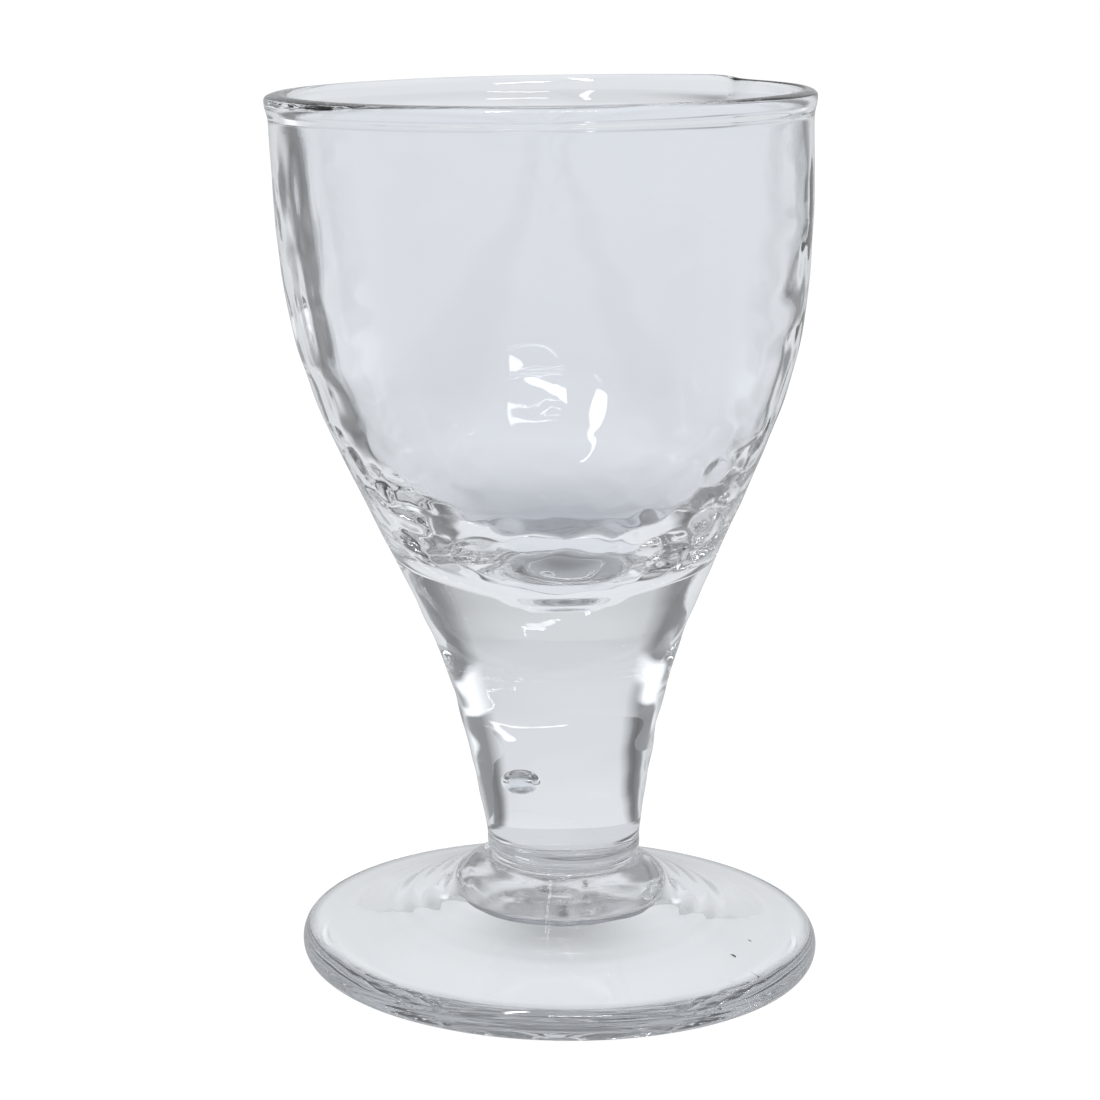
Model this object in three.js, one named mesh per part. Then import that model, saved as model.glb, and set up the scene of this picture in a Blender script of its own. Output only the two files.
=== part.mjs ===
// A footed shot glass, blown and drawn by hand: gathers of clear glass joined hot, one on the next.
// Millimetres, +Z up. The glass stands on z = 0, with the origin under the middle of its outline.
import * as THREE from "three";

// Heights of the gathers, from the table up
const footHeight = 10.8;
const collarHeight = 2.3;
const stemLength = 23.5;
const bowlHeight = 50.4;
const lipHeight = 3;

// Foot: a shallow cone with a rounded edge, hollowed underneath so that it stands on a ring
const footRadius = 27.1;
const footEdgeHeight = 3.4;
const footEdgeRound = 1.2;
const restWidth = 2.9;
const kickHeight = 5.2;
const creaseWidth = 0.2;

// Scar: the broken disc that the working rod left in the hollow under the foot
const scarRadius = 9.5;
const scarDepth = 1.3;
const scarDish = 0.4;
const scarBevel = 0.5;
const scarMargin = 0.4;

// Collar and stem, both solid
const collarRadius = 7.3;
const collarBulge = 0.3;
const stemFootRadius = 7.9;
const stemTaper = 0.17;

// Bowl: a thick floor with a round pit, and a cavity that was blown off the middle
const bowlFootRadius = 13.8;
const bowlFlare = 0.44;
const bowlRadius = 27.15;
const mouthWall = 1.9;
const floorThickness = 6.8;
const pitRadius = 8.5;
const pitDepth = 3;
const cavityShift = 0.6;

// Lip: a trail of glass wound once round the mouth, thicker towards its end, which is lapped over its start
const lipProud = 0.4;
const lipNeck = 1.1;
const lapHeight = 0.4;
const lapAngle = THREE.MathUtils.degToRad(41);
const lapFade = THREE.MathUtils.degToRad(40);

// How the hot glass settled: the stem off the foot's middle, the axis leaning, the rim tipped
const stemOffset = 0.3;
const lean = THREE.MathUtils.degToRad(2.65);
const rimTip = THREE.MathUtils.degToRad(1.5);

// Facets round the glass, and along a long curve and a short one
const segments = 56;
const longSteps = 12;
const shortSteps = 6;

// Levels and radii that follow from the sizes above
const collarTop = footHeight + collarHeight;
const stemTop = collarTop + stemLength;
const bowlTop = stemTop + bowlHeight;
const rimTop = bowlTop + lipHeight;
const cavityFloor = stemTop + floorThickness;
const mouthRadius = bowlRadius - mouthWall;
const seatRadius = stemFootRadius + stemOffset + creaseWidth;
const restRadius = footRadius - footEdgeRound;
const kickRadius = restRadius - restWidth;
const scarSeatRadius = scarRadius + scarMargin;

const { lerp, clamp, euclideanModulo } = THREE.MathUtils;
const point = (radius, height) => new THREE.Vector2(radius, height);

// Points along a curve with two handles; each place is a [radius, height] pair
function drawn(start, startHandle, endHandle, end, steps) {
  const places = [start, startHandle, endHandle, end].map((pair) => point(...pair));
  return new THREE.CubicBezierCurve(...places).getPoints(steps);
}

// Points along a curve that is pulled towards one corner
function bent(start, corner, end, steps) {
  const places = [start, corner, end].map((pair) => point(...pair));
  return new THREE.QuadraticBezierCurve(...places).getPoints(steps);
}

// Revolves a profile about the vertical axis
function turned(profile) {
  return new THREE.LatheGeometry(profile, segments).rotateX(Math.PI / 2);
}

// Moves each vertex by a rule that is given its place, its radius, its angle and its number
function reshape(geometry, rule) {
  const places = geometry.attributes.position;
  const spot = new THREE.Vector3();
  for (let index = 0; index < places.count; index += 1) {
    spot.fromBufferAttribute(places, index);
    rule(spot, Math.hypot(spot.x, spot.y), Math.atan2(spot.y, spot.x), index);
    places.setXYZ(index, spot.x, spot.y, spot.z);
  }
  return geometry;
}

// Everything above the foot leans over, and its levels tip more the higher they are
function settle(geometry) {
  return reshape(geometry, (spot) => {
    const rise = spot.z - footHeight;
    spot.z += spot.x * Math.tan(rimTip) * (rise / (rimTop - footHeight));
    spot.x += stemOffset - rise * Math.tan(lean);
  });
}

// The hollow follows the cone above it, so the foot is a plate of nearly even thickness
function makeFoot() {
  const edgeMiddle = footEdgeHeight / 2;
  const edge = new THREE.EllipseCurve(
    restRadius, edgeMiddle, footEdgeRound, edgeMiddle, -Math.PI / 2, Math.PI / 2);
  const cone = bent(
    [restRadius, footEdgeHeight],
    [lerp(seatRadius, restRadius, 0.39), lerp(footEdgeHeight, footHeight, 0.33)],
    [seatRadius, footHeight],
    shortSteps);
  const kick = bent(
    [scarSeatRadius, kickHeight],
    [lerp(scarSeatRadius, kickRadius, 0.34), kickHeight * 0.42],
    [kickRadius, 0],
    shortSteps);
  return turned([
    point(0, kickHeight),
    ...kick,
    ...edge.getPoints(shortSteps),
    ...cone.slice(1),
    point(0, footHeight),
  ]);
}

// The broken face is dished and ragged: its depth goes up and down round the disc
function makeScar() {
  const brokenFace = kickHeight - scarDepth;
  const disc = turned([
    point(0, brokenFace + scarDish),
    point(scarRadius * 0.7, brokenFace),
    point(scarRadius - scarBevel, brokenFace),
    point(scarRadius, brokenFace + scarBevel),
    point(scarRadius, kickHeight),
    point(0, kickHeight),
  ]);
  return reshape(disc, (spot, radius, angle) => {
    const ripple = 0.25 * Math.sin(3 * angle) + 0.15 * Math.sin(7 * angle + 1);
    spot.z -= (kickHeight - spot.z) * ripple * (radius / scarRadius);
  });
}

// A button that swells above the crease where it meets the foot
function makeCollar() {
  const side = bent(
    [collarRadius, footHeight],
    [stemFootRadius + collarBulge, footHeight + collarHeight * 0.35],
    [stemFootRadius, collarTop],
    shortSteps);
  return settle(turned([point(0, footHeight), ...side, point(0, collarTop)]));
}

// Slim above the collar, then flaring into the bowl
function makeStem() {
  const slimRun = stemLength * 0.55;
  const flareRun = stemLength * 0.23;
  const side = drawn(
    [stemFootRadius, collarTop],
    [stemFootRadius + stemTaper * slimRun, collarTop + slimRun],
    [bowlFootRadius - bowlFlare * flareRun, stemTop - flareRun],
    [bowlFootRadius, stemTop],
    longSteps);
  return settle(turned([point(0, collarTop), ...side, point(0, stemTop)]));
}

function makeBowl() {
  const flareRun = bowlHeight * 0.47;
  const wallRun = bowlHeight * 0.51;
  const outside = drawn(
    [bowlFootRadius, stemTop],
    [bowlFootRadius + bowlFlare * flareRun, stemTop + flareRun],
    [bowlRadius, bowlTop - wallRun],
    [bowlRadius, bowlTop],
    longSteps);
  const depth = bowlTop - cavityFloor;
  const cavityWallRun = depth * 0.68;
  const cavityFloorRise = depth * 0.098;
  const inside = drawn(
    [mouthRadius, bowlTop],
    [mouthRadius, bowlTop - cavityWallRun],
    [lerp(pitRadius, mouthRadius, 0.5), cavityFloor + cavityFloorRise],
    [pitRadius, cavityFloor],
    longSteps);
  const pitFloor = cavityFloor - pitDepth;
  const pit = bent([pitRadius, cavityFloor], [pitRadius * 0.33, pitFloor], [0, pitFloor], shortSteps);
  const outer = [point(0, stemTop), ...outside];
  const inner = [...inside, ...pit.slice(1)];
  const profile = [...outer, ...inner];
  const shell = reshape(turned(profile), (spot, radius, angle, index) => {
    const onCavity = index % profile.length >= outer.length;
    spot.x += onCavity ? cavityShift : 0;
  });
  return settle(shell);
}

// The trail swells out of the wall over a soft neck, and its inner side slides over with the cavity
function makeLip() {
  const crest = (bowlRadius + mouthRadius) / 2;
  const swell = bowlRadius + lipProud;
  const neckTop = bowlTop + lipNeck;
  const beadMiddle = neckTop + lipNeck;
  const neck = drawn(
    [bowlRadius, bowlTop], [bowlRadius, neckTop], [swell, neckTop], [swell, beadMiddle], shortSteps);
  const outerSide = drawn(
    [swell, beadMiddle],
    [swell, lerp(beadMiddle, rimTop, 0.7)],
    [lerp(crest, swell, 0.65), rimTop],
    [crest, rimTop],
    shortSteps);
  const innerSide = drawn(
    [crest, rimTop], [mouthRadius, rimTop], [mouthRadius, bowlTop + lipHeight * 0.5], [mouthRadius, bowlTop],
    shortSteps);
  const ring = turned([point(mouthRadius, bowlTop), ...neck, ...outerSide.slice(1), ...innerSide.slice(1)]);
  reshape(ring, (spot, radius, angle) => {
    const height = (spot.z - bowlTop) / lipHeight;
    const inward = clamp((bowlRadius - radius) / mouthWall, 0, 1);
    const pastLap = euclideanModulo(angle - lapAngle, 2 * Math.PI);
    spot.z += height * lapHeight * Math.exp(-pastLap / lapFade);
    spot.x += cavityShift * inward;
  });
  return settle(ring);
}

// Clear glass, a little greyer where it is thick or broken
function glass(color, roughness) {
  return new THREE.MeshStandardMaterial({ color, roughness, metalness: 0, transparent: true, opacity: 0.4 });
}

const footedGlass = new THREE.Group();

function addPiece(name, geometry, material) {
  const piece = new THREE.Mesh(geometry, material);
  piece.name = name;
  footedGlass.add(piece);
}

addPiece("foot", makeFoot(), glass(0xe1e4ec, 0.05));
addPiece("pontil_scar", makeScar(), glass(0xc9ccd2, 0.45));
addPiece("collar", makeCollar(), glass(0xd2d6de, 0.05));
addPiece("stem", makeStem(), glass(0xd6dae2, 0.05));
addPiece("bowl", makeBowl(), glass(0xd9dde6, 0.04));
addPiece("lip_trail", makeLip(), glass(0xd4d8e0, 0.03));

// The lean makes the outline wider to one side, so the glass is moved to stand over the origin
const outline = new THREE.Box3().setFromObject(footedGlass, true);
footedGlass.position.x = -(outline.min.x + outline.max.x) / 2;

export default footedGlass;
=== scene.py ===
import math

import bpy
from mathutils import Matrix, Vector, kdtree, noise


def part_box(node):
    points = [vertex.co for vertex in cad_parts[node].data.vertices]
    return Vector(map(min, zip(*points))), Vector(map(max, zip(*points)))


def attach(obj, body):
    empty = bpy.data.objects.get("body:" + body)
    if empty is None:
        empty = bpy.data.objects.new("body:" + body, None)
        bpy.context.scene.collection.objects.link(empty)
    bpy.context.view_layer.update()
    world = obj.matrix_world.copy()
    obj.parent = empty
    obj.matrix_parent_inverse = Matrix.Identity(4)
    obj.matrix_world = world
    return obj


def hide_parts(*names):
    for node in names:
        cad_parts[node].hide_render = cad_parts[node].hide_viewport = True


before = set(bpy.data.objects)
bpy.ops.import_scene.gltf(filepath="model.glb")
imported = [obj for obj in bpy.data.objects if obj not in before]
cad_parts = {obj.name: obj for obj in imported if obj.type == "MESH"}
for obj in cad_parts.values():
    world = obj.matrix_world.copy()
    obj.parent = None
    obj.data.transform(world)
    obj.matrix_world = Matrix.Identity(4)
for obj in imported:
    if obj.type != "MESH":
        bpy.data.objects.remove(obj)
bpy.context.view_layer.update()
mm = 0.001

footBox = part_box("foot")
footMiddle = (footBox[0].x + footBox[1].x) / 2 / mm   # the foot's own axis, in mm
print("frame loaded, foot axis at x =", round(footMiddle, 3), "mm")


# camera at the photograph's viewing angle; places in mm, angles in radians
cameraView = {
    "side": -1.674,        # right of the foot's axis
    "distance": 286.97,    # in front of the axis
    "height": 105.98,
    "pitch": 0.2155,       # looking down
    "roll": 0.0163,
    "lens": 93.43,
    "sensor": 36.0,
    "clipStart": 0.01,     # in metres
}


def makeCamera(view):
    spot = Vector((footMiddle + view["side"], -view["distance"], view["height"])) * mm
    turn = Matrix.Rotation(math.pi / 2 - view["pitch"], 4, "X") @ Matrix.Rotation(view["roll"], 4, "Z")
    bpy.ops.object.camera_add()
    camera = bpy.context.object
    camera.name = "photoCamera"
    camera.matrix_world = Matrix.Translation(spot) @ turn
    camera.data.lens = view["lens"]
    camera.data.sensor_width = view["sensor"]
    camera.data.clip_start = view["clipStart"]
    bpy.context.scene.camera = camera


makeCamera(cameraView)
print("camera placed")


# one socket of a node tree, so that shader maths reads as plain expressions
class Wire:
    def __init__(self, tree, socket=None):
        self.tree = tree
        self.socket = socket

    def node(self, kind, settings, sockets, output=0):
        made = self.tree.nodes.new(kind)
        for name, value in settings.items():
            if name == "stops":
                self.setStops(made.color_ramp, value)
            else:
                setattr(made, name, value)
        for name, value in sockets.items():
            if isinstance(value, Wire):
                self.tree.links.new(value.socket, made.inputs[name])
            else:
                made.inputs[name].default_value = value
        return Wire(self.tree, made.outputs[output] if len(made.outputs) else None)

    def setStops(self, ramp, stops):
        while len(ramp.elements) < len(stops):
            ramp.elements.new(1.0)
        for element, (place, grey) in zip(ramp.elements, stops):
            element.position = place
            element.color = (grey, grey, grey, 1)

    def math(self, operation, first, second):
        return self.node("ShaderNodeMath", {"operation": operation}, {0: first, 1: second})

    def __add__(self, other):
        return self.math("ADD", self, other)

    def __radd__(self, other):
        return self.math("ADD", other, self)

    def __sub__(self, other):
        return self.math("SUBTRACT", self, other)

    def __rsub__(self, other):
        return self.math("SUBTRACT", other, self)

    def __mul__(self, other):
        return self.math("MULTIPLY", self, other)

    def __rmul__(self, other):
        return self.math("MULTIPLY", other, self)


# light of the room by direction, each way from -1 to 1; it is pale all round, but for a dark band
# on each side ahead, with a bright window over the horizon in it
room = {
    "tint": (0.966, 0.984, 1.0, 1),
    "level": 0.90,
    "ahead": [(-1, 1), (0, 0.94), (0.12, 0.86), (0.22, 0.84), (0.33, 0.7), (0.47, 0.4),
              (0.75, 0.4), (0.95, 0.5)],
    "aside": [(-1, 0.2), (0.07, 0.22), (0.1, 1), (0.2, 1), (0.26, 0.2), (0.6, 0.12), (1, 0.2)],
    "asideFrom": [(0.46, 0), (0.62, 1), (0.82, 1), (0.93, 0)],   # where the bands lie, by side and by depth
    "asideDepth": [(-0.1, 0), (0.1, 1)],
    "windowLevel": 1.5,
    "mirrored": 0.55,      # the grey that the glass mirrors, so that its edges read darker
    "byDepth": [(-1, 0.85), (-0.3, 0.7), (0.1, 0.85), (0.35, 1)],
}


# an even grey in place of the level, where the glass mirrors it and doesn't let it through
def dimMirrored(desk, level, grey):
    glossy = desk.node("ShaderNodeLightPath", {}, {}, "Is Glossy Ray")
    through = desk.node("ShaderNodeLightPath", {}, {}, "Is Transmission Ray")
    mirrored = glossy * (1 - through)
    return level * (1 - mirrored) + mirrored * grey


def makeRoom(values):
    world = bpy.data.worlds.new("room")
    bpy.context.scene.world = world
    world.use_nodes = True
    world.node_tree.nodes.clear()
    desk = Wire(world.node_tree)
    direction = desk.node("ShaderNodeTexCoord", {}, {}, "Generated")
    toRight, away, up = [desk.node("ShaderNodeSeparateXYZ", {}, {0: direction}, axis) for axis in "XYZ"]

    def ramp(share, stops):
        halved = [(place / 2 + 0.5, grey) for place, grey in stops]
        return desk.node("ShaderNodeValToRGB", {"stops": halved}, {0: share * 0.5 + 0.5})

    sideways = desk.node("ShaderNodeMath", {"operation": "ABSOLUTE"}, {0: toRight})
    aside = ramp(sideways, values["asideFrom"]) * ramp(away, values["asideDepth"])
    besideLight = ramp(up, values["aside"]) * values["windowLevel"]
    level = (1 - aside) * ramp(up, values["ahead"]) + aside * besideLight
    level = level * ramp(away, values["byDepth"]) * values["level"]
    level = dimMirrored(desk, level, values["mirrored"])
    seen = desk.node("ShaderNodeBackground", {}, {"Color": values["tint"], "Strength": level})
    white = desk.node("ShaderNodeBackground", {}, {"Color": (1, 1, 1, 1)})
    toCamera = desk.node("ShaderNodeLightPath", {}, {}, "Is Camera Ray")
    shown = desk.node("ShaderNodeMixShader", {}, {0: toCamera, 1: seen, 2: white})
    desk.node("ShaderNodeOutputWorld", {}, {"Surface": shown})


# pale floor: white to the camera, with the glass's faint shadow; through the glass it is a pale sheet
# that widens away from the camera, with a dark band along each edge
floorLook = {
    "size": 6.0,           # in metres, and how far it lies under the foot
    "drop": 0.00005,
    "glow": 0.975,
    "paint": 0.15,
    "sheetTint": (0.966, 0.984, 1.0, 1),
    "sheetLevel": 0.9,
    "halfWidth": 74,       # of the sheet beside the glass, in mm, and how fast it widens
    "widening": 0.68,
    "byShare": [(-1.9, 1), (-1.6, 0.3), (-1.15, 0.16), (-1.0, 0.25), (-0.85, 0.65), (-0.7, 1),
                (0.7, 1), (0.8, 0.8), (0.92, 0.4), (1.05, 0.22), (1.5, 0.3), (1.8, 1)],
    # painted shadow: the glow that the glass sees is darkened under the foot's middle
    "footShade": 0.45,     # how much darker it is under the foot's middle
    "footShadeReach": 8.5,
    "farShade": 0.07,      # and how much darker far behind the glass
    "farFrom": 120,
    "farTo": 360,
}


def makeFloor(values):
    bpy.ops.mesh.primitive_plane_add(size=values["size"], location=(0, 0, -values["drop"]))
    floor = bpy.context.object
    floor.name = "paleFloor"
    material = bpy.data.materials.new("palePaper")
    material.use_nodes = True
    material.node_tree.nodes.clear()
    material.cycles.emission_sampling = "NONE"
    desk = Wire(material.node_tree)
    place = desk.node("ShaderNodeTexCoord", {}, {}, "Object")
    toRight, away = [desk.node("ShaderNodeSeparateXYZ", {}, {0: place}, axis) * (1 / mm) for axis in "XY"]
    toRight = toRight - footMiddle
    widened = desk.math("MAXIMUM", away, 0) * values["widening"]
    halfWidth = desk.math("SQRT", widened * widened + values["halfWidth"] ** 2, 0)
    stops = [(share / 4 + 0.5, grey) for share, grey in values["byShare"]]
    sheet = desk.node("ShaderNodeValToRGB", {"stops": stops}, {
        0: desk.math("DIVIDE", toRight, halfWidth) * 0.25 + 0.5})
    # painted shadow under the foot, in the glow that the glass sees
    spread = (toRight * toRight + away * away) * (-1 / values["footShadeReach"] ** 2)
    shade = 1 - desk.math("POWER", math.e, spread) * values["footShade"]
    far = desk.node("ShaderNodeMapRange", {}, {
        "Value": away, "From Min": values["farFrom"], "From Max": values["farTo"]})
    shade = shade * (1 - far * values["farShade"])
    level = dimMirrored(desk, sheet * shade * values["sheetLevel"], room["mirrored"])
    seen = desk.node("ShaderNodeEmission", {}, {"Color": values["sheetTint"], "Strength": level})
    glow = desk.node("ShaderNodeEmission", {}, {"Strength": values["glow"]})
    grey = values["paint"]
    paint = desk.node("ShaderNodeBsdfDiffuse", {}, {"Color": (grey, grey, grey, 1)})
    shown = desk.node("ShaderNodeAddShader", {}, {0: glow, 1: paint})
    toCamera = desk.node("ShaderNodeLightPath", {}, {}, "Is Camera Ray")
    both = desk.node("ShaderNodeMixShader", {}, {0: toCamera, 1: seen, 2: shown})
    desk.node("ShaderNodeOutputMaterial", {}, {"Surface": both})
    floor.data.materials.append(material)


# lamps, each with its direction seen from the glass in degrees (azimuth 0 is away from the camera,
# 90 to the right) and its sizes in mm; they face a spot at this height over the floor
lampAim = 60
lamps = {
    "softBox": {"azimuth": 169, "height": 39, "distance": 600,
                "width": 260, "tall": 26, "turn": -12, "watts": 0.7},
    "window": {"azimuth": 206, "height": 53, "distance": 600,
               "width": 34, "tall": 300, "turn": 0, "watts": 1.5},
}


def makeLamps(values):
    middle = Vector((footMiddle, 0, lampAim)) * mm
    for name, lamp in values.items():
        azimuth, height = math.radians(lamp["azimuth"]), math.radians(lamp["height"])
        reach = math.cos(height)
        towards = Vector((math.sin(azimuth) * reach, math.cos(azimuth) * reach, math.sin(height)))
        bpy.ops.object.light_add(type="AREA")
        light = bpy.context.object
        light.name = name
        light.location = middle + towards * lamp["distance"] * mm
        turn = Matrix.Rotation(math.radians(lamp["turn"]), 3, "Z")
        light.rotation_euler = (towards.to_track_quat("Z", "Y").to_matrix() @ turn).to_euler()
        light.data.shape = "RECTANGLE"
        light.data.size = lamp["width"] * mm
        light.data.size_y = lamp["tall"] * mm
        light.data.energy = lamp["watts"]


makeRoom(room)
makeFloor(floorLook)
makeLamps(lamps)
print("room, floor and lamps made")


# hand-blown glass, with faint cords drawn along it and a thin film of handling; thick pieces are greyer;
# painted shade darkens the collar and the broken scar, and rings by their radius in mm at the edge of the
# foot, the pit and the scar's rim, and the cavity's floor by its height in mm
polished = {"gloss": 0.0, "film": 0.006, "ripple": 0.02}
clear = {**polished, "tint": (0.955, 0.965, 0.985, 1), "cord": (0.93, 0.945, 0.97, 1)}
thick = {**polished, "tint": (0.905, 0.92, 0.945, 1), "cord": (0.875, 0.895, 0.925, 1)}
# painted shade: the collar's dark tint stands in for the shade of the band where the stem meets the foot
shadedCollar = {**polished, "tint": (0.70, 0.71, 0.73, 1), "cord": (0.60, 0.61, 0.64, 1)}
# painted shade: a darker ring at the edge of the foot
spread = {**clear, "edge": {"from": 25.2, "to": 26.4, "axis": 0.0, "tint": (0.50, 0.515, 0.54, 1)}}
# painted shade: the cavity's floor and a ring round the pit are tinted darker, standing in for the shade seen
# there
blownShaded = {**clear, "floor": {"from": 51.5, "to": 43, "tint": (0.36, 0.37, 0.40, 1)},
         "edge": {"from": 5.6, "to": 4.4, "axis": -0.54, "tint": (0.13, 0.135, 0.15, 1)}}
# the scar's roughness is its rough break; its dark tint and rim ring are painted shade that darken the pit
# seen through it
brokenShaded = {"gloss": 0.08, "film": 0.2, "ripple": 0.3,
          "tint": (0.30, 0.31, 0.33, 1), "cord": (0.22, 0.23, 0.25, 1),
          "edge": {"from": 8.8, "to": 9.1, "axis": 0.0, "tint": (0.30, 0.31, 0.33, 1)}}
grain = {"cords": 260, "cordStretch": (1, 1, 0.2), "film": 90, "ripples": 420,
         "rippleDepth": 0.0002}   # in metres
glassIndex = 1.5


def mixColours(desk, share, colour, tint):
    return desk.node("ShaderNodeMix", {"data_type": "RGBA"}, {0: share, 6: colour, 7: tint}, 2)


# 0 before the first place of a tint and 1 past the second
def shareOf(desk, value, tinted):
    return desk.node("ShaderNodeMapRange", {}, {
        "Value": value, "From Min": tinted["from"] * mm, "From Max": tinted["to"] * mm})


# painted shade: darkens a ring by its radius round the axis
def paintRingShade(desk, place, colour, edge):
    across, away = [desk.node("ShaderNodeSeparateXYZ", {}, {0: place}, axis) for axis in "XY"]
    across = across - (footMiddle + edge["axis"]) * mm
    radius = desk.math("SQRT", across * across + away * away, 0)
    return mixColours(desk, shareOf(desk, radius, edge), colour, edge["tint"])


# painted shade: darkens the cavity's floor by its height
def paintFloorShade(desk, place, colour, floor):
    height = desk.node("ShaderNodeSeparateXYZ", {}, {0: place}, "Z")
    inside = desk.node("ShaderNodeAttribute", {"attribute_name": "inside"}, {}, "Fac")
    return mixColours(desk, shareOf(desk, height, floor) * inside, colour, floor["tint"])


def makeGlass(name, look):
    material = bpy.data.materials.new(name)
    material.use_nodes = True
    material.node_tree.nodes.clear()
    desk = Wire(material.node_tree)
    place = desk.node("ShaderNodeTexCoord", {}, {}, "Object")
    drawn = desk.node("ShaderNodeMapping", {}, {"Vector": place, "Scale": grain["cordStretch"]})
    cords = desk.node("ShaderNodeTexNoise", {}, {
        "Vector": drawn, "Scale": grain["cords"], "Detail": 2, "Distortion": 0.6}, "Fac")
    film = desk.node("ShaderNodeTexNoise", {}, {"Vector": place, "Scale": grain["film"], "Detail": 4}, "Fac")
    colour = mixColours(desk, cords, look["tint"], look["cord"])
    # painted shade: the cavity's floor and the rings that the look lists are darkened
    if "floor" in look:
        colour = paintFloorShade(desk, place, colour, look["floor"])
    if "edge" in look:
        colour = paintRingShade(desk, place, colour, look["edge"])
    ripple = desk.node("ShaderNodeTexNoise", {}, {
        "Vector": place, "Scale": grain["ripples"], "Detail": 3}, "Fac")
    bump = desk.node("ShaderNodeBump", {}, {
        "Strength": look["ripple"], "Distance": grain["rippleDepth"], "Height": ripple})
    surface = desk.node("ShaderNodeBsdfPrincipled", {}, {
        "Base Color": colour, "Roughness": look["gloss"] + film * look["film"], "IOR": glassIndex,
        "Transmission Weight": 1, "Normal": bump})
    desk.node("ShaderNodeOutputMaterial", {}, {"Surface": surface})
    return material


def makeFusedJoint():
    material = bpy.data.materials.new("fusedJoint")   # hot joints leave nothing to see
    material.use_nodes = True
    material.node_tree.nodes["Principled BSDF"].inputs["Alpha"].default_value = 0
    return material


clearGlass = makeGlass("clearGlass", clear)
thickGlass = makeGlass("thickGlass", thick)
shadedCollarGlass = makeGlass("shadedCollarGlass", shadedCollar)
spreadShadedGlass = makeGlass("spreadShadedGlass", spread)
brokenShadedGlass = makeGlass("brokenShadedGlass", brokenShaded)
blownShadedGlass = makeGlass("blownShadedGlass", blownShaded)
fusedJoint = makeFusedJoint()
print("materials made")


# sizes of the gathers in mm; a share or a bend is a part of a length, and steps are counted along a curve
foot = {"height": 10.8, "radius": 27.1, "edgeHeight": 3.4, "edgeRound": 1.2, "restWidth": 2.9, "kick": 5.2,
        "crease": 0.35, "creaseWidth": 0.1, "seatMargin": 0.2, "seatDrop": 0.2,
        "hollowBend": (0.34, 0.42), "coneBend": (0.39, 0.33)}         # shares outwards and up
scar = {"radius": 9.5, "depth": 1.3, "dish": 0.4, "bevel": 0.5, "margin": 0.4,
        "dishRings": [(0, 1), (0.35, 0.8), (0.7, 0)]}                 # shares of the radius and of the dish
collar = {"height": 2.3, "radius": 7.4, "bulge": 0.3, "bulgeShare": 0.35}
stem = {"length": 23.5, "footRadius": 7.9, "taper": 0.17, "slimShare": 0.55, "flareShare": 0.23}
bowl = {"height": 50.4, "footRadius": 13.8, "flare": 0.44, "radius": 27.15, "mouthWall": 1.9,
        "flareShare": 0.47, "upperShare": 0.51, "pitBend": 0.33,
        "floorThickness": 6.8, "pitRadius": 8.5, "pitDepth": 2.5, "cavityShift": 0.6,
        "wallShare": 0.68, "floorSpread": 0.5, "floorRise": 0.098,   # the cavity's curve
        "stepRadius": 4.1, "stepDepth": 0.55, "stepWidth": 0.6,       # the button pressed into the pit
        "ringRadius": 2.1, "ringDepth": 0.35, "ringWidth": 0.4}
lip = {"height": 3.0, "proud": 0.36, "neck": 1.2, "shoulderDrop": 0.3, "shoulderIn": 0.5, "innerShare": 0.5}
settling = {"stemOffset": 0.3, "lean": 2.65, "rimTip": 1.5, "cage": 40}
curveSteps = {"hollow": 8, "edge": 10, "cone": 14, "collar": 5, "stem": 12, "bowl": 18,
              "lipNeck": 6, "lipOutside": 5, "lipInside": 7, "cavity": 26, "pit": 18}

collarTop = foot["height"] + collar["height"]
stemTop = collarTop + stem["length"]
bowlTop = stemTop + bowl["height"]
rimTop = bowlTop + lip["height"]
cavityFloor = stemTop + bowl["floorThickness"]
mouthRadius = bowl["radius"] - bowl["mouthWall"]


# points of a curve that starts at the first handle, ends at the last and bends towards the others
def curve(handles, steps):
    points = []
    for step in range(steps + 1):
        level = [Vector(handle) for handle in handles]
        while len(level) > 1:
            level = [one.lerp(two, step / steps) for one, two in zip(level, level[1:])]
        points.append(level[0])
    return points


def mix(low, high, share):
    return low + (high - low) * share


# the half outline of each gather, from under the foot up the outside, over the rim and down to the pit
def scarOutline():
    face = foot["kick"] - scar["depth"]
    dish = [Vector((scar["radius"] * share, face + scar["dish"] * rise)) for share, rise in scar["dishRings"]]
    return [
        *dish,
        Vector((scar["radius"] - scar["bevel"], face)),
        Vector((scar["radius"], face + scar["bevel"])),
        Vector((scar["radius"], foot["kick"])),
    ]


def footOutline():
    rest = foot["radius"] - foot["edgeRound"]
    inner = rest - foot["restWidth"]
    roof = scar["radius"] + scar["margin"]
    seat = stem["footRadius"] + settling["stemOffset"] + foot["seatMargin"]
    middle = foot["edgeHeight"] / 2
    coneTop = foot["height"] - foot["seatDrop"]
    outwards, up = foot["hollowBend"]
    bend = (mix(roof, inner, outwards), foot["kick"] * up)
    under = curve([(roof, foot["kick"]), bend, (inner, 0)], curveSteps["hollow"])
    edge = []
    for step in range(curveSteps["edge"] + 1):
        angle = math.pi * (step / curveSteps["edge"] - 0.5)
        edge.append(Vector((rest + foot["edgeRound"] * math.cos(angle), middle + middle * math.sin(angle))))
    outwards, up = foot["coneBend"]
    corner = (mix(seat, rest, outwards), mix(foot["edgeHeight"], coneTop, up))
    cone = curve([(rest, foot["edgeHeight"]), corner, (seat, coneTop)], curveSteps["cone"])
    groove = Vector((collar["radius"] + foot["creaseWidth"], foot["height"] - foot["crease"]))
    return [*under, *edge, *cone[1:], groove, Vector((collar["radius"], foot["height"]))]


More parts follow.
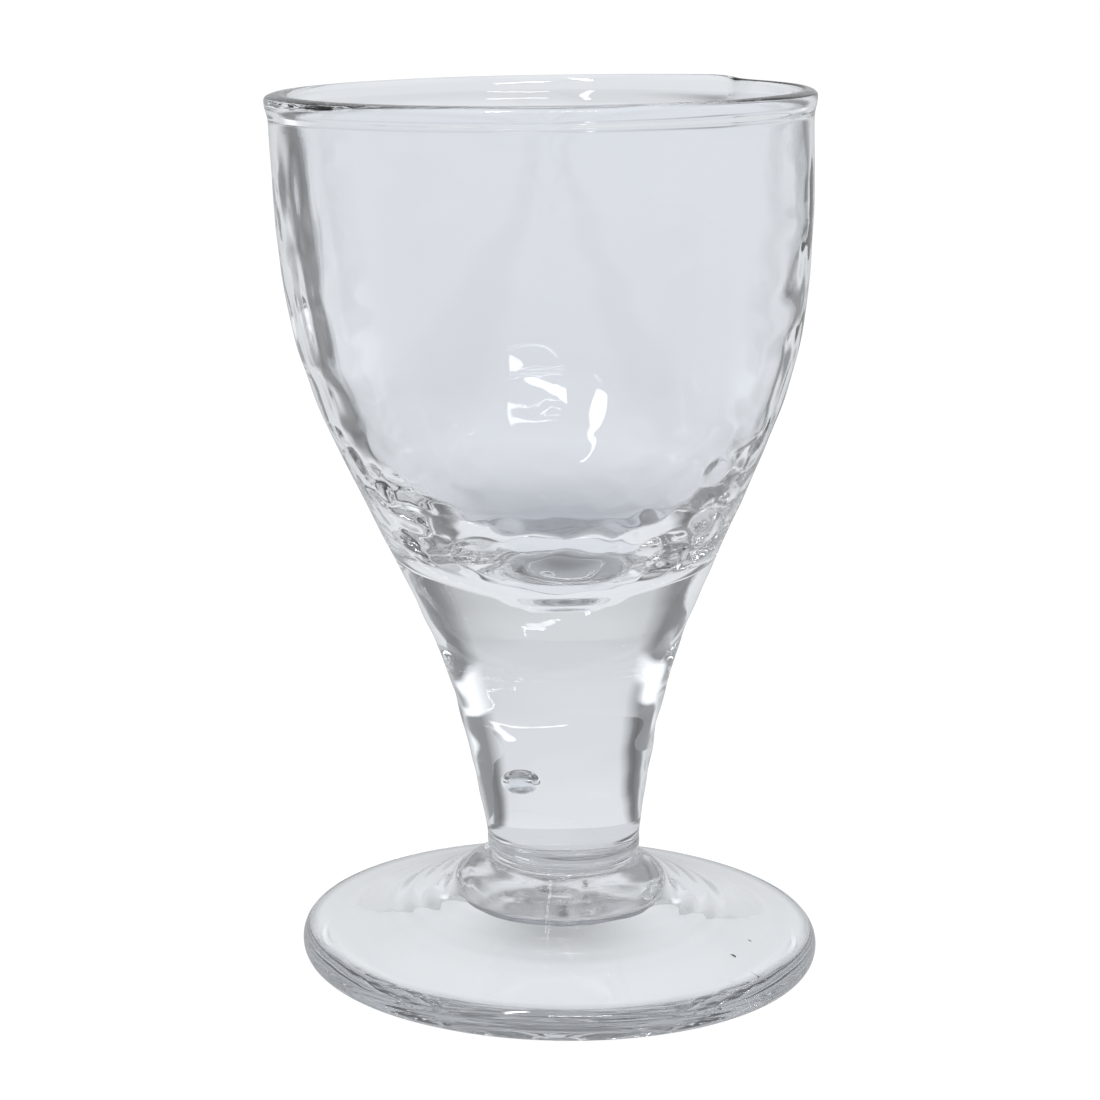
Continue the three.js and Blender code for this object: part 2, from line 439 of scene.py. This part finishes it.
def collarOutline():
    swell = (stem["footRadius"] + collar["bulge"], foot["height"] + collar["height"] * collar["bulgeShare"])
    side = [(collar["radius"], foot["height"]), swell, (stem["footRadius"], collarTop)]
    return curve(side, curveSteps["collar"])[1:]


def stemOutline():
    slim = stem["length"] * stem["slimShare"]
    flare = stem["length"] * stem["flareShare"]
    return curve([
        (stem["footRadius"], collarTop),
        (stem["footRadius"] + stem["taper"] * slim, collarTop + slim),
        (bowl["footRadius"] - bowl["flare"] * flare, stemTop - flare),
        (bowl["footRadius"], stemTop),
    ], curveSteps["stem"])[1:]


def bowlOutline():
    flare = bowl["height"] * bowl["flareShare"]
    wall = bowl["height"] * bowl["upperShare"]
    return curve([
        (bowl["footRadius"], stemTop),
        (bowl["footRadius"] + bowl["flare"] * flare, stemTop + flare),
        (bowl["radius"], bowlTop - wall),
        (bowl["radius"], bowlTop),
    ], curveSteps["bowl"])[1:]


def lipOutline():
    crest = (bowl["radius"] + mouthRadius) / 2
    swell = bowl["radius"] + lip["proud"]
    beadMiddle = bowlTop + lip["neck"] * 2
    under = curve([(bowl["radius"], bowlTop), (bowl["radius"], bowlTop + lip["neck"]),
                   (swell, bowlTop + lip["neck"]), (swell, beadMiddle)], curveSteps["lipNeck"])
    outside = curve([(swell, beadMiddle), (swell, rimTop - lip["shoulderDrop"]),
                     (swell - lip["shoulderIn"], rimTop), (crest, rimTop)], curveSteps["lipOutside"])
    inside = curve([(crest, rimTop), (mouthRadius, rimTop),
                    (mouthRadius, bowlTop + lip["height"] * lip["innerShare"]),
                    (mouthRadius, bowlTop)], curveSteps["lipInside"])
    return [*under[1:], *outside[1:], *inside[1:]]


def cavityOutline():
    depth = bowlTop - cavityFloor
    wall = curve([
        (mouthRadius, bowlTop),
        (mouthRadius, bowlTop - depth * bowl["wallShare"]),
        (mix(bowl["pitRadius"], mouthRadius, bowl["floorSpread"]), cavityFloor + depth * bowl["floorRise"]),
        (bowl["pitRadius"], cavityFloor),
    ], curveSteps["cavity"])
    pitFloor = cavityFloor - bowl["pitDepth"]
    bend = (bowl["pitRadius"] * bowl["pitBend"], pitFloor)
    floor = curve([(bowl["pitRadius"], cavityFloor), bend, (0, pitFloor)], curveSteps["pit"])[1:]
    for point in floor:
        step = min(max((bowl["stepRadius"] - point.x) / bowl["stepWidth"] + 0.5, 0), 1)
        ring = math.exp(-((point.x - bowl["ringRadius"]) / bowl["ringWidth"]) ** 2)
        point.y -= bowl["stepDepth"] * step + bowl["ringDepth"] * ring
    return [*wall[1:], *floor]


# draws the outline as an edge chain, a point at a time, and spins it round the axis
def turnOutline(name, outline, steps):
    bpy.ops.object.select_all(action="DESELECT")
    bpy.ops.mesh.primitive_plane_add(size=mm)
    turned = bpy.context.object
    turned.name = name
    bpy.ops.object.mode_set(mode="EDIT")
    bpy.ops.mesh.merge(type="CENTER")
    last = Vector((0, 0))
    for count, point in enumerate(outline):
        move = Vector((point.x - last.x, 0, point.y - last.y)) * mm
        if count == 0:
            bpy.ops.transform.translate(value=move)
        else:
            bpy.ops.mesh.extrude_region_move(TRANSFORM_OT_translate={"value": move})
        last = point
    bpy.ops.mesh.select_all(action="SELECT")
    bpy.ops.mesh.spin(steps=steps, angle=math.tau, center=(0, 0, 0), axis=(0, 0, 1))
    bpy.ops.mesh.select_all(action="SELECT")
    bpy.ops.mesh.remove_doubles(threshold=shaping["mergeGap"])
    bpy.ops.mesh.normals_make_consistent(inside=False)
    bpy.ops.object.mode_set(mode="OBJECT")
    return turned


gathers = {
    "pontil_scar": scarOutline(),
    "foot": footOutline(),
    "collar": collarOutline(),
    "stem": stemOutline(),
    "bowl_outside": bowlOutline(),
    "lip_trail": lipOutline(),
    "bowl": cavityOutline(),
}
shaping = {"steps": 64, "levels": 2, "mergeGap": 0.00001}   # the gap in metres
outline = [point for points in gathers.values() for point in points]
glass = turnOutline("glass", outline, shaping["steps"])
print("outline of", len(outline), "points spun,", len(glass.data.vertices), "vertices")


# tags each face with its gather, and each vertex with how far it drifts with the cavity
# and whether it settles with the stem
def tagGathers(turned):
    names, first, count = [], {}, 0
    for name, points in gathers.items():
        first[name] = count
        names.extend([pieceOf.get(name, name)] * len(points))
        count += len(points)
    nearest = kdtree.KDTree(len(outline))
    for index, point in enumerate(outline):
        nearest.insert((point.x, 0, point.y), index)
    nearest.balance()
    cavity = turned.vertex_groups.new(name="cavity")
    settled = turned.vertex_groups.new(name="settled")
    places = []
    for vertex in turned.data.vertices:
        radius, height = vertex.co.xy.length / mm, vertex.co.z / mm
        place = nearest.find((radius, 0, height))[1]
        places.append(place)
        inward = 0
        if place >= first["bowl"]:
            inward = 1
        elif place >= first["lip_trail"]:
            inward = min(max((bowl["radius"] - radius) / bowl["mouthWall"], 0), 1)
        cavity.add([vertex.index], inward, "REPLACE")
        settled.add([vertex.index], 1 if place >= first["collar"] - 1 else 0, "REPLACE")
    for name in dict.fromkeys(names):
        turned.data.materials.append(bpy.data.materials.new(name))
    slots = list(dict.fromkeys(names))
    for face in turned.data.polygons:
        last = max(places[vertex] for vertex in face.vertices)
        face.material_index = slots.index(names[last])
        face.use_smooth = True
    return slots


def applyModifier(piece, kind, **settings):
    bpy.context.view_layer.objects.active = piece
    modifier = piece.modifiers.new(kind.title(), kind)
    for name, value in settings.items():
        setattr(modifier, name, value)
    bpy.ops.object.modifier_apply(modifier=modifier.name)


# waves of hand-worked glass in mm, by place on the un-leaned glass; a wave is full where the wall is seen
# edge-on, and calm is its share elsewhere; it fades in and out over its blend
relief = {
    "most": 1.0,
    "edgeFrom": 0.75,
    "soft": {"rise": 0.05, "length": (9, 9, 9), "seed": 0, "cavitySeed": 9, "onFoot": 0.3, "onLip": 0.4},
    "wall": {"rise": 0.28, "length": (12, 12, 3.6), "seed": 20, "low": 46, "high": 84, "blend": 6,
             "calm": 0.1},
    "cords": {"rise": 0.09, "length": (2.2, 2.2, 26), "seed": 60},
    "crinkle": {"rise": 0.27, "length": (4.2, 4.2, 3.4), "seed": 30, "low": 43.8, "high": 58, "blend": 6,
                "calm": 0.2, "sink": 0.2},
    "outside": {"rise": 0.28, "length": (12, 12, 3.6), "seed": 40, "low": 40, "high": 84, "blend": 6,
                "calm": 0.15, "full": 0.4},
    "stem": {"rise": 0.24, "length": (6, 6, 3), "seed": 50, "low": 17, "high": 40, "blend": 5, "calm": 0.25},
    "footRings": {"rise": 0.02, "spacing": 2.3, "low": 11, "high": 17, "blend": 2},
    "scar": {"rise": 0.22, "length": (2.4, 2.4, 2.4), "seed": 3, "above": 0.01, "beside": 0.1},
    "scarRings": {"rise": 0.07, "spacing": 1.7},
    "lap": {"rise": 0.42, "angle": 41, "edge": 2.5, "fade": 40, "climb": 1.5},
}


def wave(place, look, shift=0):
    spot = Vector([part / length for part, length in zip(place, look["length"])])
    return look["rise"] * noise.noise(spot + Vector((look["seed"] + shift, 0, 0)))


def ringWave(radius, rings):
    return rings["rise"] * math.sin(radius * math.tau / rings["spacing"])


def within(value, band):
    rising = min(max((value - band["low"]) / band["blend"] + 0.5, 0), 1)
    falling = min(max((band["high"] - value) / band["blend"] + 0.5, 0), 1)
    return rising * falling


# the trail thickens towards its end, which drops to its start at the lap
def lapRise(x, y):
    lap = relief["lap"]
    turn = (math.degrees(math.atan2(y, x)) - lap["angle"]) % 360
    edge = min(turn, 360 - turn) / lap["edge"]
    past = 0.5 + 0.5 * math.copysign(1 - math.exp(-edge), 180 - turn)
    return lap["rise"] * past * math.exp(-turn / lap["fade"] if turn < 180 else 0)


# how far the surface stands out at a place; depth is 1 on the cavity and 0 outside
def reliefAt(place, depth):
    x, y, z = place
    radius = math.hypot(x, y)
    sideways = abs(x) / max(radius, 0.01)
    edgeOn = max(sideways - relief["edgeFrom"], 0) / (1 - relief["edgeFrom"])
    soft, ragged = relief["soft"], relief["scar"]
    rise = wave(place, soft, soft["cavitySeed"] * depth)
    if z < foot["kick"] + ragged["above"] and radius < scar["radius"] + ragged["beside"]:
        return rise + wave(place, ragged) + ringWave(radius, relief["scarRings"])
    if z < foot["height"]:
        rings = relief["footRings"]
        return rise * soft["onFoot"] + ringWave(radius, rings) * within(radius, rings)
    if depth > 0.5:
        wall, crinkle = relief["wall"], relief["crinkle"]
        rise += wave(place, wall) * within(z, wall) * mix(wall["calm"], 1, edgeOn)
        rise += wave(place, relief["cords"]) * within(z, wall) * edgeOn
        ridges = abs(wave(place, crinkle)) - crinkle["sink"] * crinkle["rise"]
        rise += ridges * within(z, crinkle) * mix(crinkle["calm"], 1, sideways)
    else:
        outside, drawn = relief["outside"], relief["stem"]
        rise += wave(place, outside) * mix(outside["calm"], outside["full"], edgeOn) * within(z, outside)
        rise += wave(place, drawn) * mix(drawn["calm"], 1, edgeOn) * within(z, drawn)
    if z > bowlTop:
        rise = rise * soft["onLip"] + lapRise(x, y) * min((z - bowlTop) / relief["lap"]["climb"], 1)
    return rise


def cavityShare(vertex, cavity):
    return sum(group.weight for group in vertex.groups if group.group == cavity)


def shapeRelief(piece):
    cavity = piece.vertex_groups["cavity"].index
    swell = piece.vertex_groups.new(name="swell")
    dent = piece.vertex_groups.new(name="dent")
    for vertex in piece.data.vertices:
        depth = cavityShare(vertex, cavity)
        share = reliefAt(vertex.co / mm, depth) / relief["most"]
        if share > 0:
            swell.add([vertex.index], min(share, 1), "REPLACE")
        else:
            dent.add([vertex.index], min(-share, 1), "REPLACE")
    strength = relief["most"] * mm
    applyModifier(piece, "DISPLACE", vertex_group="swell", mid_level=0, strength=strength)
    applyModifier(piece, "DISPLACE", vertex_group="dent", mid_level=0, strength=-strength)


# a two-point lattice leans everything above the foot and tips its levels
def settleGlass(piece):
    low, high, half = foot["height"], rimTop, settling["cage"]
    bpy.ops.object.add(type="LATTICE", location=(0, 0, (low + high) / 2 * mm))
    cage = bpy.context.object
    cage.scale = Vector((2 * half, 2 * half, high - low)) * mm
    cage.data.points_u = cage.data.points_v = cage.data.points_w = 2
    for axis in "uvw":
        setattr(cage.data, "interpolation_type_" + axis, "KEY_LINEAR")
    bpy.context.view_layer.update()
    inverse = cage.matrix_world.inverted()
    for point in cage.data.points:
        spot = cage.matrix_world @ point.co / mm
        rise = spot.z - low
        spot.z += spot.x * math.tan(math.radians(settling["rimTip"])) * rise / (high - low)
        spot.x += settling["stemOffset"] - rise * math.tan(math.radians(settling["lean"]))
        point.co_deform = inverse @ (spot * mm)
    applyModifier(piece, "LATTICE", object=cage, vertex_group="settled")
    bpy.data.objects.remove(cage)


def selectOnly(piece):
    bpy.ops.object.select_all(action="DESELECT")
    piece.select_set(True)
    bpy.context.view_layer.objects.active = piece


# splits the glass into its gathers, which share their rings
def splitGathers(whole, slots):
    pieces = {}
    for index, name in enumerate(slots):
        selectOnly(whole)
        bpy.ops.object.mode_set(mode="EDIT")
        bpy.ops.mesh.select_all(action="DESELECT")
        bpy.ops.object.mode_set(mode="OBJECT")
        for face in whole.data.polygons:
            face.select = face.material_index == index
        bpy.ops.object.mode_set(mode="EDIT")
        bpy.ops.mesh.separate(type="SELECTED")
        bpy.ops.object.mode_set(mode="OBJECT")
        pieces[name] = next(part for part in bpy.context.selected_objects if part != whole)
    bpy.data.objects.remove(whole)
    return pieces


# closes a gather's rings where it is fused to its neighbours
def closeJoints(piece, surface, ringLevel=None):
    sides = len(piece.data.polygons)
    selectOnly(piece)
    bpy.ops.object.mode_set(mode="EDIT")
    bpy.ops.mesh.select_mode(type="EDGE")
    if ringLevel is not None:
        bpy.ops.mesh.select_all(action="DESELECT")
        bpy.ops.mesh.select_non_manifold(use_wire=False, use_multi_face=False, use_non_contiguous=False,
                                         use_verts=False)
        bpy.ops.object.mode_set(mode="OBJECT")
        for edge in piece.data.edges:
            height = sum(piece.data.vertices[end].co.z for end in edge.vertices) / 2 / mm
            edge.select = edge.select and height > ringLevel
        bpy.ops.object.mode_set(mode="EDIT")
        bpy.ops.mesh.bridge_edge_loops()
    bpy.ops.mesh.select_all(action="SELECT")
    bpy.ops.mesh.fill_holes(sides=0)
    bpy.ops.mesh.select_all(action="SELECT")
    bpy.ops.mesh.normals_make_consistent(inside=False)
    bpy.ops.object.mode_set(mode="OBJECT")
    piece.data.materials.clear()
    piece.data.materials.append(surface)
    piece.data.materials.append(fusedJoint)
    for face in piece.data.polygons:
        face.material_index = 0 if face.index < sides else 1
        face.use_smooth = face.index < sides
    bpy.ops.object.mode_set(mode="EDIT")
    bpy.ops.mesh.select_mode(type="FACE")
    bpy.ops.mesh.select_all(action="DESELECT")
    bpy.ops.object.mode_set(mode="OBJECT")
    for face in piece.data.polygons:
        face.select = face.index >= sides
    bpy.ops.object.mode_set(mode="EDIT")
    bpy.ops.mesh.region_to_loop()
    bpy.ops.mesh.mark_sharp()   # the sides keep their own shading up to the ring
    bpy.ops.object.mode_set(mode="OBJECT")


# seed bubbles sealed in the glass; sizes and places in mm from the foot's axis, tilts in degrees
seeds = [
    {"gather": "stem", "across": 2.7, "tall": 2.9, "side": -2.9, "depth": 0.0, "height": 19.8, "tilt": 25},
    {"gather": "foot", "across": 0.7, "tall": 0.3, "side": 17.45, "depth": -12.66, "height": 3.6, "tilt": 30},
    {"gather": "foot", "across": 0.45, "tall": 0.25, "side": 19.34, "depth": -8.47, "height": 3.6, "tilt": 40},
]
seedFacets = {"round": 48, "rings": 24}


def addSeed(piece, seed):
    selectOnly(piece)
    spot = Vector((footMiddle + seed["side"], seed["depth"], seed["height"])) * mm
    bpy.ops.mesh.primitive_uv_sphere_add(segments=seedFacets["round"], ring_count=seedFacets["rings"],
                                         radius=mm / 2, location=spot,
                                         scale=(seed["across"], seed["across"], seed["tall"]),
                                         rotation=(0, math.radians(seed["tilt"]), 0))
    hollow = bpy.context.object
    bpy.ops.object.transform_apply(location=True, rotation=True, scale=True)
    bpy.ops.object.shade_smooth()
    hollow.data.materials.append(piece.data.materials[0])
    bpy.ops.object.mode_set(mode="EDIT")
    bpy.ops.mesh.select_all(action="SELECT")
    bpy.ops.mesh.flip_normals()   # the glass is outside it
    bpy.ops.object.mode_set(mode="OBJECT")
    piece.select_set(True)
    bpy.context.view_layer.objects.active = piece
    bpy.ops.object.join()


pieceOf = {"bowl_outside": "bowl"}   # both sides of one wall
slots = tagGathers(glass)
applyModifier(glass, "DISPLACE", direction="X", vertex_group="cavity", mid_level=0,
              strength=bowl["cavityShift"] * mm)
applyModifier(glass, "SUBSURF", levels=shaping["levels"], render_levels=shaping["levels"])
shapeRelief(glass)
settleGlass(glass)
selectOnly(glass)
glass.location.x = footMiddle * mm
bpy.ops.object.transform_apply(location=True)
print("glass shaped,", len(glass.data.vertices), "vertices")
pieces = splitGathers(glass, slots)
surfaces = {"pontil_scar": brokenShadedGlass, "foot": spreadShadedGlass, "collar": shadedCollarGlass, "stem": thickGlass,
            "bowl": blownShadedGlass, "lip_trail": clearGlass}
ringLevels = dict.fromkeys(("bowl", "lip_trail"), bowlTop - 5)   # their joint is a ring above this height
for name, piece in pieces.items():
    closeJoints(piece, surfaces[name], ringLevels.get(name))
for seed in seeds:
    addSeed(pieces[seed["gather"]], seed)
print("gathers split and closed:", ", ".join(pieces))


# tells the material where the cavity is
def markInside(piece):
    cavity = piece.vertex_groups["cavity"].index
    inside = piece.data.attributes.new("inside", "FLOAT", "POINT")
    for vertex in piece.data.vertices:
        inside.data[vertex.index].value = cavityShare(vertex, cavity)


markInside(pieces["bowl"])
shownNames = {"pontil_scar": "broken_scar", "foot": "spread_foot", "collar": "stem_collar",
              "stem": "drawn_stem", "bowl": "blown_bowl", "lip_trail": "wound_lip"}
for name, piece in pieces.items():
    piece.name = shownNames[name]
    piece.vertex_groups.clear()
    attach(piece, "root")
    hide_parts(name)
    "broken_glass" if name == "pontil_scar" else "clear_glass"
print("pieces set on the frame")

scene = bpy.context.scene
scene.view_settings.view_transform = "Standard"
scene.cycles.max_bounces = 32
scene.cycles.transmission_bounces = 32
scene.cycles.glossy_bounces = 32
scene.cycles.transparent_max_bounces = 64
